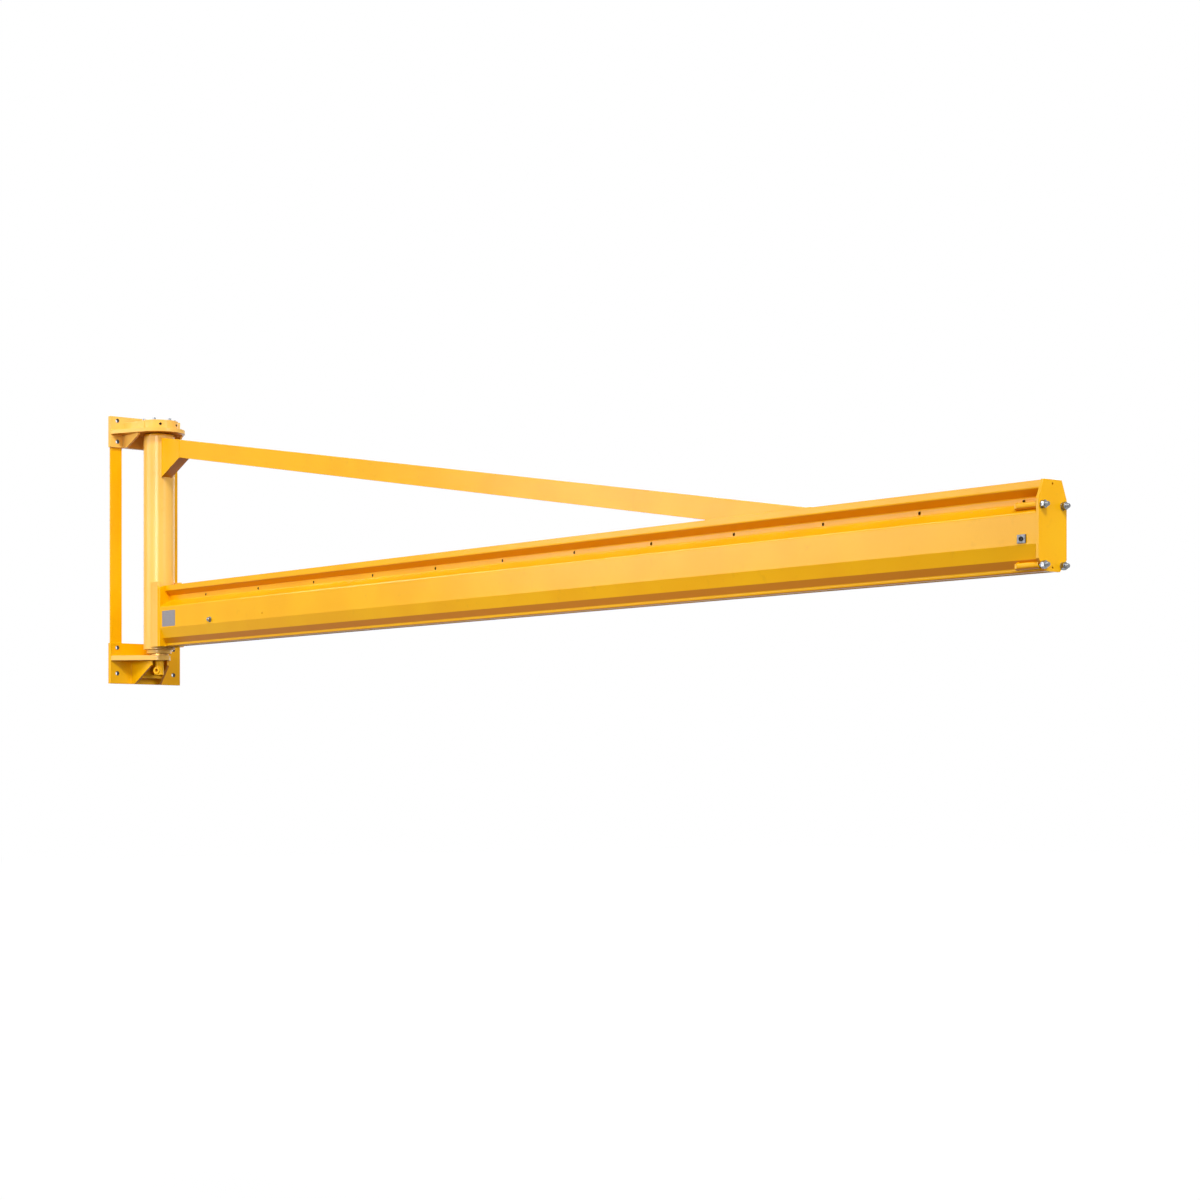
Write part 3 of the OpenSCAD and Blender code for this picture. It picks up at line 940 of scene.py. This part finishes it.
@dataclass
class StopNuts:
    """Nuts on the trolley stops: a plain one near the root, a socket near the end."""

    root_nut: Hexagon = Hexagon(19 * MM, 10 * MM)
    root_thread: Thread = Thread(12 * MM, 5 * MM, 1.75 * MM)
    end_cap: Disc = Disc(8.5 * MM, 4 * MM, 0.8 * MM, bore=5.5 * MM, depth=3.5 * MM)

    def build(self) -> None:
        """Makes the nut and the cap for each side of the track."""
        root, end = Extent.of("root_stop_bolt"), Extent.of("end_stop_bolt")
        for side in Side:
            out = Vector((0, side.value, 0))
            face = root.middle + out * (root.size.y / 2)
            bm = bmesh.new()
            self.root_nut.build(bm, face, out)
            self.root_thread.build(bm, face + out * self.root_nut.height, out)
            finish_piece(bm, f"root_stop_nut_{side.name.lower()}", Body.JIB, ZINC)
            bm = bmesh.new()
            self.end_cap.build(bm, end.middle + out * (end.size.y / 2), out)
            finish_piece(bm, f"end_stop_screw_{side.name.lower()}", Body.JIB, BLACKED)


@dataclass
class BoreShadeLinings:
    """Dark linings just inside the bolt holes: painted shade in the holes."""

    lining: float = 0.5 * MM
    gap: float = 0.05 * MM
    set_back: float = 0.4 * MM
    track_wall: float = 5 * MM
    sides: int = 28

    def build(self) -> None:
        """Makes the dark linings, as painted shade, in the anchor holes and in the row of holes in
        the stem.
        """
        stem = bmesh.new()
        for mount in frame["record"]["mounts"]:
            name, place = mount["name"], Vector(mount["pos_m"])
            if name.endswith("wall_bolts"):
                bm = bmesh.new()
                self._anchor_holes(bm, place, mount["dims"])
                finish_piece(bm, f"{name}_bores", Body.BRACKET, BORE_SHADE)
            elif name.startswith("stem_hole"):
                radius, width = mount["dims"]["r_mm"] * MM, mount["dims"]["length_mm"] * MM
                for side in Side:
                    out = Vector((0, side.value, 0))
                    self._tube(stem, place + out * (width / 2), -out, radius, self.track_wall)
        finish_piece(stem, "stem_hole_bores", Body.JIB, BORE_SHADE)

    def _anchor_holes(self, bm: BMesh, place: Vector, dims: dict[str, float]) -> None:
        """Lines the four anchor holes of a wall plate with painted shade.

        Args:
            bm: The mesh that gets them.
            place: The middle of the pattern, on the plate's outer face.
            dims: The pattern's sizes in millimetres.
        """
        across, up = dims["spacing_x_mm"] * MM / 2, dims["spacing_y_mm"] * MM / 2
        inward = Vector((-1, 0, 0))
        for y, z in ((-across, -up), (-across, up), (across, -up), (across, up)):
            face = place + Vector((0, y, z))
            self._tube(bm, face, inward, dims["hole_r_mm"] * MM, place.x)

    def _tube(self, bm: BMesh, face: Vector, inward: Vector, radius: float, depth: float) -> None:
        """Makes one thin dark lining, as painted shade, just inside a hole.

        Args:
            bm: The mesh that gets it.
            face: The hole's centre on the outer face.
            inward: The way into the hole.
            radius: The hole's radius.
            depth: The wall's thickness.
        """
        outer = radius - self.gap
        inner = outer - self.lining
        low, high = self.set_back, depth - self.set_back
        ring = [(inner, low), (outer, low), (outer, high), (inner, high), (inner, low)]
        spun(bm, ring, face, inward, self.sides)


@dataclass
class RatingLabel:
    """The bare foil label on the track's side, near the column."""

    start: float = 24 * MM  # from the root plate's face
    length: float = 129 * MM
    height: float = 80 * MM
    centre_height: float = 139 * MM  # above the track's underside
    thickness: float = 0.8 * MM
    corner: float = 5 * MM
    corner_steps: int = 5

    def build(self) -> None:
        """Makes the label as a thin plate with rounded corners."""
        track = Extent.of("track_beam")
        bm = bmesh.new()
        bmesh.ops.create_cube(bm, size=1.0)
        bmesh.ops.scale(bm, vec=(self.length, self.thickness, self.height), verts=bm.verts)
        corners = [e for e in bm.edges if abs((e.verts[0].co - e.verts[1].co).normalized().y) > 0.9]
        bmesh.ops.bevel(
            bm,
            geom=corners,
            offset=self.corner,
            offset_type="OFFSET",
            affect="EDGES",
            segments=self.corner_steps,
            profile=0.5,
            material=-1,
        )
        x = track.low.x + self.start + self.length / 2
        y, z = track.low.y - self.thickness / 2, track.low.z + self.centre_height
        bmesh.ops.translate(bm, vec=(x, y, z), verts=bm.verts)
        finish_piece(bm, "rating_label", Body.JIB, FOIL)


@dataclass
class WeldBeads:
    """The fillet welds between the plates, tubes and shelves, painted over."""

    fillet: Bead = Bead()
    small: Bead = Bead(radius=3.5 * MM, ripple=6 * MM)
    smooth_below: float = math.radians(60)
    nose: float = 12 * MM  # from a lower gusset's nose to the end of its bead
    boss_radius: float = 24 * MM
    foot_radius: float = 64 * MM
    cheek_end: float = 8 * MM  # from a cheek's top down to its bead
    tie_root: float = 93 * MM
    tie_foot: float = 590 * MM
    # Half the track's section, in millimetres outwards and down from the top.
    section: tuple[Pair, ...] = (
        (40, 27), (14, 52), (14, 78), (70, 111), (70, 220), (53, 270), (35, 298), (35, 312)
    )

    def build(self) -> None:
        """Lays the beads of the bracket and of the jib."""
        for name, body, finish, lay in (
            ("lower_bracket_welds", Body.BRACKET, ENAMEL, self._lower_bracket),
            # the welds on the parts with painted sheen carry the same painted sheen
            ("upper_bracket_welds", Body.BRACKET, SHEEN_PAINTED_ENAMEL, self._upper_bracket),
            ("column_welds", Body.JIB, SHEEN_PAINTED_ENAMEL, self._column),
            ("track_root_welds", Body.JIB, ENAMEL, self._track_root),
            ("tie_welds", Body.JIB, ENAMEL, self._tie),
        ):
            bm = bmesh.new()
            lay(bm)
            finish_piece(bm, name, body, finish, self.smooth_below)

    def _lower_bracket(self, bm: BMesh) -> None:
        """Lays the beads round the lower shelf, its gussets and its boss.

        Args:
            bm: The mesh that gets them.
        """
        shelf, stiffener = Extent.of("lower_shelf"), Extent.of("lower_stiffener")
        plate, boss = Extent.of("lower_wall_plate"), Extent.of("pin_boss")
        face = plate.high.x
        for bead, box in ((self.fillet, shelf), (self.small, stiffener)):
            for z in (box.low.z, box.high.z):
                bead.along(bm, box.across(face, z))
        for name in ("lower_left_gusset", "lower_right_gusset"):
            box = Extent.of(name)
            y, top = box.outer, box.high.z
            end = (box.high.x, box.inner + box.side * self.nose, top)
            self.fillet.along(bm, [(face, y, box.low.z), (face, y, top), end])
        centre = Vector((boss.low.x + self.boss_radius, 0, boss.high.z))
        self.small.along(bm, circle_path(centre, self.boss_radius), closed=True)
        self._bar_ends(bm, plate.high.z)

    def _bar_ends(self, bm: BMesh, height: float) -> None:
        """Lays a bead across one end of each wall bar.

        Args:
            bm: The mesh that gets them.
            height: The height of the plate's edge that the bars meet.
        """
        for name in ("left_wall_bar", "right_wall_bar"):
            bar = Extent.of(name)
            self.small.along(bm, bar.across(bar.high.x, height))

    def _upper_bracket(self, bm: BMesh) -> None:
        """Lays the beads round the upper shelf, its gussets, ribs and ring.

        Args:
            bm: The mesh that gets them.
        """
        shelf, ring = Extent.of("upper_shelf"), Extent.of("bearing_ring")
        plate = Extent.of("upper_wall_plate")
        face = plate.high.x
        for z in (shelf.low.z, shelf.high.z):
            self.fillet.along(bm, shelf.across(face, z))
        centre = Vector((ring.middle.x, 0, shelf.high.z))
        self.fillet.along(bm, circle_path(centre, ring.size.x / 2), closed=True)
        for name in ("upper_left_gusset", "upper_right_gusset"):
            box = Extent.of(name)
            low, top = box.low.z, box.high.z
            for y in (box.low.y, box.high.y):
                self.fillet.along(bm, [(face, y, low), (face, y, top), (box.high.x, y, top)])
        for name in ("upper_left_rib", "upper_right_rib"):
            box = Extent.of(name)
            y, low = box.outer, box.low.z
            end = (ring.middle.x, box.side * ring.size.y / 2, low)
            self.small.along(bm, [(face, y, box.high.z), (face, y, low), end])
        self._bar_ends(bm, plate.low.z)

    def _column(self, bm: BMesh) -> None:
        """Lays the beads round the column's cap and foot, and down its cheeks.

        Args:
            bm: The mesh that gets them.
        """
        tube, cap = Extent.of("column_tube"), Extent.of("column_cap")
        for z, radius in ((tube.high.z, cap.size.x / 2), (tube.low.z, self.foot_radius)):
            centre = Vector((tube.middle.x, 0, z))
            self.small.along(bm, circle_path(centre, radius), closed=True)
        for name in ("left_root_cheek", "left_tie_cheek", "right_root_cheek", "right_tie_cheek"):
            box = Extent.of(name)
            y = box.outer
            x = tube.middle.x + math.sqrt((tube.size.x / 2) ** 2 - y**2)
            self.fillet.along(bm, [(x, y, box.low.z), (x, y, box.high.z - self.cheek_end)])

    def _track_root(self, bm: BMesh) -> None:
        """Lays the beads between the cheeks, the root plate and the track.

        Args:
            bm: The mesh that gets them.
        """
        plate, track = Extent.of("root_plate"), Extent.of("track_beam")
        x, low = plate.low.x, Extent.of("left_root_cheek").low.z
        for y in (plate.low.y, plate.high.y):
            self.small.along(bm, [(x, y, low), (x, y, plate.high.z)])
        for side in Side:
            route = [
                (track.low.x, side.value * out * MM, track.high.z - down * MM)
                for out, down in self.section
            ]
            self.small.along(bm, route)

    def _tie(self, bm: BMesh) -> None:
        """Lays the beads between the tie bar, its cheeks and the track.

        Args:
            bm: The mesh that gets them.
        """
        bar, top = Extent.of("tie_bar"), Extent.of("track_beam").high.z
        low, high = bar.low, bar.high
        for y in (low.y, high.y):
            self.small.along(bm, [(low.x, y, high.z), (low.x, y, high.z - self.tie_root)])
            self.fillet.along(bm, [(high.x - self.tie_foot, y, top), (high.x, y, top)])
        self.fillet.along(bm, bar.across(high.x, top))


# ---- Studio ----


def stood(name: str, data: bpy.types.ID, place: Vector, heading: Vector) -> bpy.types.Object:
    """Puts a lamp or the camera in the scene.

    Args:
        name: The object's name.
        data: The lamp's or the camera's settings.
        place: Where it stands.
        heading: Where it looks.

    Returns:
        The new object.
    """
    made = bpy.data.objects.new(name, data)
    made.location = place
    made.rotation_mode = "QUATERNION"
    made.rotation_quaternion = heading.to_track_quat("-Z", "Y")
    bpy.context.scene.collection.objects.link(made)
    return made


@dataclass(frozen=True)
class Softbox:
    """An area lamp that faces a point of the crane.

    Attributes:
        name: The lamp's name.
        place: Where it stands.
        aim: The point that it faces.
        size: Its width and height.
        radiance: How bright its face is.
        card: True where it only shows in glossy surfaces, as a reflector card does.
        veiled: True where glossy surfaces don't show it.
        receivers: The only CAD nodes that it lights, or none where it lights them all.
    """

    name: str
    place: Point
    aim: Point
    size: Pair
    radiance: float
    card: bool = False
    veiled: bool = False
    receivers: tuple[str, ...] = ()

    def build(self) -> None:
        """Puts the lamp in the scene."""
        data = bpy.data.lights.new(self.name, "AREA")
        data.shape = "RECTANGLE"
        data.size, data.size_y = self.size
        data.energy = self.radiance * math.prod(self.size) * math.pi
        place = Vector(self.place)
        lamp = stood(self.name, data, place, Vector(self.aim) - place)
        lamp.visible_camera = False
        lamp.visible_diffuse = not self.card
        lamp.visible_glossy = not self.veiled
        if self.receivers:
            lit = bpy.data.collections.new(f"{self.name}_receivers")
            for name in self.receivers:
                lit.objects.link(frame["nodes"][name])
            lamp.light_linking.receiver_collection = lit


@dataclass(frozen=True)
class DistantLamp:
    """A broad lamp so far away that its light comes from one side.

    Attributes:
        name: The lamp's name.
        level: How brightly it lights a surface that faces it, where 1 is full.
        heading: Where its light goes.
        spread: The angle that it fills in the sky.
    """

    name: str
    level: float
    heading: Point
    spread: float = math.radians(14)

    def build(self) -> None:
        """Puts the lamp in the scene."""
        data = bpy.data.lights.new(self.name, "SUN")
        data.energy = self.level * math.pi
        data.angle = self.spread
        stood(self.name, data, Vector(), Vector(self.heading))


COLUMN_MIDDLE: Point = (0.2, 0.0, 0.6)
COLUMN_ONLY = {  # a reflector card that is flagged off from all but the column
    "card": True,
    "receivers": ("column_tube", "column_foot", "thrust_washer", "lower_shelf"),
}

LAMPS = (
    Softbox(
        "side_softbox", place=(-2.4, -7.4, 1.65), aim=(3.0, 0.0, 0.5), size=(5.4, 1.6), radiance=9.0
    ),
    Softbox(
        "column_card", place=(5.3, -6.15, 1.4), aim=COLUMN_MIDDLE, size=(3.0, 2.6), radiance=30.0,
        **COLUMN_ONLY,
    ),
    Softbox(
        "rim_card", place=(-3.05, 7.3, 1.5), aim=COLUMN_MIDDLE, size=(0.7, 2.6), radiance=6.0,
        **COLUMN_ONLY,
    ),
    Softbox(
        "low_softbox", place=(4.4, -1.3, -1.2), aim=(4.4, -0.06, 0.15), size=(3.9, 0.5),
        radiance=1.9, veiled=True,
    ),
    Softbox(
        "fold_card", place=(0.3, -1.4, 3.0), aim=(0.3, -1.401, 2.0), size=(7.0, 1.3), radiance=7.0,
        card=True,
    ),
    DistantLamp("key_lamp", level=0.62, heading=(-0.603, 0.392, -0.695)),
    DistantLamp("front_fill", level=0.24, heading=(-0.96, -0.17, -0.21)),
    DistantLamp("side_fill", level=0.13, heading=(-0.25, 0.94, -0.12)),
    DistantLamp("rear_fill", level=0.32, heading=(0.58, -0.74, -0.34)),
)


@dataclass
class Studio:
    """The floor, the lamps, the world and the camera."""

    floor_height: float = -3.2
    floor_side: float = 160.0
    floor_shade: str = "505050"  # what the floor gives back to the crane
    floor_seen: str = "484848"  # what it adds to its glow, where the eye meets it
    floor_glow: float = 0.94
    eye: Point = (12.240, -6.880, -0.6765)
    ahead: Point = (-0.7758, 0.6309, 0.0)
    lens: float = 79.5
    sensor: float = 36.0
    lift: float = 0.1617
    far_end: float = 200.0
    horizon: float = 1.05
    zenith: float = 0.32
    zenith_start: float = 0.6  # the sky is at its zenith level from this height on

    def build(self) -> None:
        """Sets up everything that isn't the crane."""
        bpy.context.scene.view_settings.view_transform = "Standard"
        self._floor()
        self._world()
        self._camera()
        for lamp in LAMPS:
            lamp.build()

    @staticmethod
    def _seen(tree: Tree) -> Socket:
        """Adds a switch that is 1 for what the eye, a gloss or glass sees.

        Args:
            tree: The node tree that gets it.

        Returns:
            The switch's socket.
        """
        path = add_node(tree, "ShaderNodeLightPath").outputs
        seen = path["Is Glossy Ray"]
        for ray in ("Is Transmission Ray", "Is Camera Ray"):
            inputs = {0: seen, 1: path[ray]}
            seen = add_node(tree, "ShaderNodeMath", inputs, operation="MAXIMUM").outputs[0]
        return seen

    def _floor(self) -> None:
        """Makes the pale floor, which keeps the crane's shadow and is clear from below."""
        bm = bmesh.new()
        bmesh.ops.create_grid(bm, x_segments=1, y_segments=1, size=self.floor_side / 2)
        bmesh.ops.translate(bm, vec=(0, 0, self.floor_height), verts=bm.verts)
        mesh = bpy.data.meshes.new("studio_floor")
        bm.to_mesh(mesh)
        bm.free()
        made = bpy.data.materials.new("pale_floor_paint")
        made.use_nodes = True
        tree = made.node_tree
        tree.nodes.clear()
        shade = add_node(tree, "ShaderNodeBsdfDiffuse", {"Color": linear(self.floor_shade)})
        light = {"Color": linear("FFFFFF"), "Strength": self.floor_glow}
        glow = add_node(tree, "ShaderNodeEmission", light)
        veil = add_node(tree, "ShaderNodeBsdfDiffuse", {"Color": linear(self.floor_seen)})
        lit = add_node(tree, "ShaderNodeAddShader", {0: veil, 1: glow})
        top = add_node(tree, "ShaderNodeMixShader", {0: self._seen(tree), 1: shade, 2: lit})
        below = add_node(tree, "ShaderNodeNewGeometry").outputs["Backfacing"]
        clear = add_node(tree, "ShaderNodeBsdfTransparent")
        sided = add_node(tree, "ShaderNodeMixShader", {0: below, 1: top, 2: clear})
        add_node(tree, "ShaderNodeOutputMaterial", {"Surface": sided})
        mesh.materials.append(made)
        floor = bpy.data.objects.new("studio_floor", mesh)
        bpy.context.scene.collection.objects.link(floor)

    def _world(self) -> None:
        """Lights the scene evenly, and shows white behind it."""
        world = bpy.data.worlds.new("studio_air")
        world.use_nodes = True
        tree = world.node_tree
        tree.nodes.clear()
        heading = add_node(tree, "ShaderNodeTexCoord").outputs["Generated"]
        height = add_node(tree, "ShaderNodeSeparateXYZ", {"Vector": heading}).outputs["Z"]
        level = ranged(tree, height, (0.0, self.zenith_start), (self.horizon, self.zenith))
        fill, white = (
            add_node(tree, "ShaderNodeBackground", {"Color": linear("FFFFFF"), "Strength": power})
            for power in (level, 1.0)
        )
        mixed = add_node(tree, "ShaderNodeMixShader", {0: self._seen(tree), 1: fill, 2: white})
        add_node(tree, "ShaderNodeOutputWorld", {"Surface": mixed})
        bpy.context.scene.world = world

    def _camera(self) -> None:
        """Stands the camera low, out beyond the jib's end, looking back to the wall."""
        data = bpy.data.cameras.new("camera")
        data.lens = self.lens
        data.sensor_width = self.sensor
        data.shift_y = self.lift
        data.clip_end = self.far_end
        camera = stood("camera", data, Vector(self.eye), Vector(self.ahead))
        bpy.context.scene.camera = camera


def main() -> None:
    """Builds the looks, piece by piece."""
    logging.basicConfig(level=logging.INFO, format="%(message)s")
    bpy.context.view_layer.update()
    Studio().build()
    Steelwork().dress()
    ClampingBolts().build()
    BearingScrews().build()
    StopNuts().build()
    BoreShadeLinings().build()
    RatingLabel().build()
    WeldBeads().build()


if __name__ == "__main__":
    main()
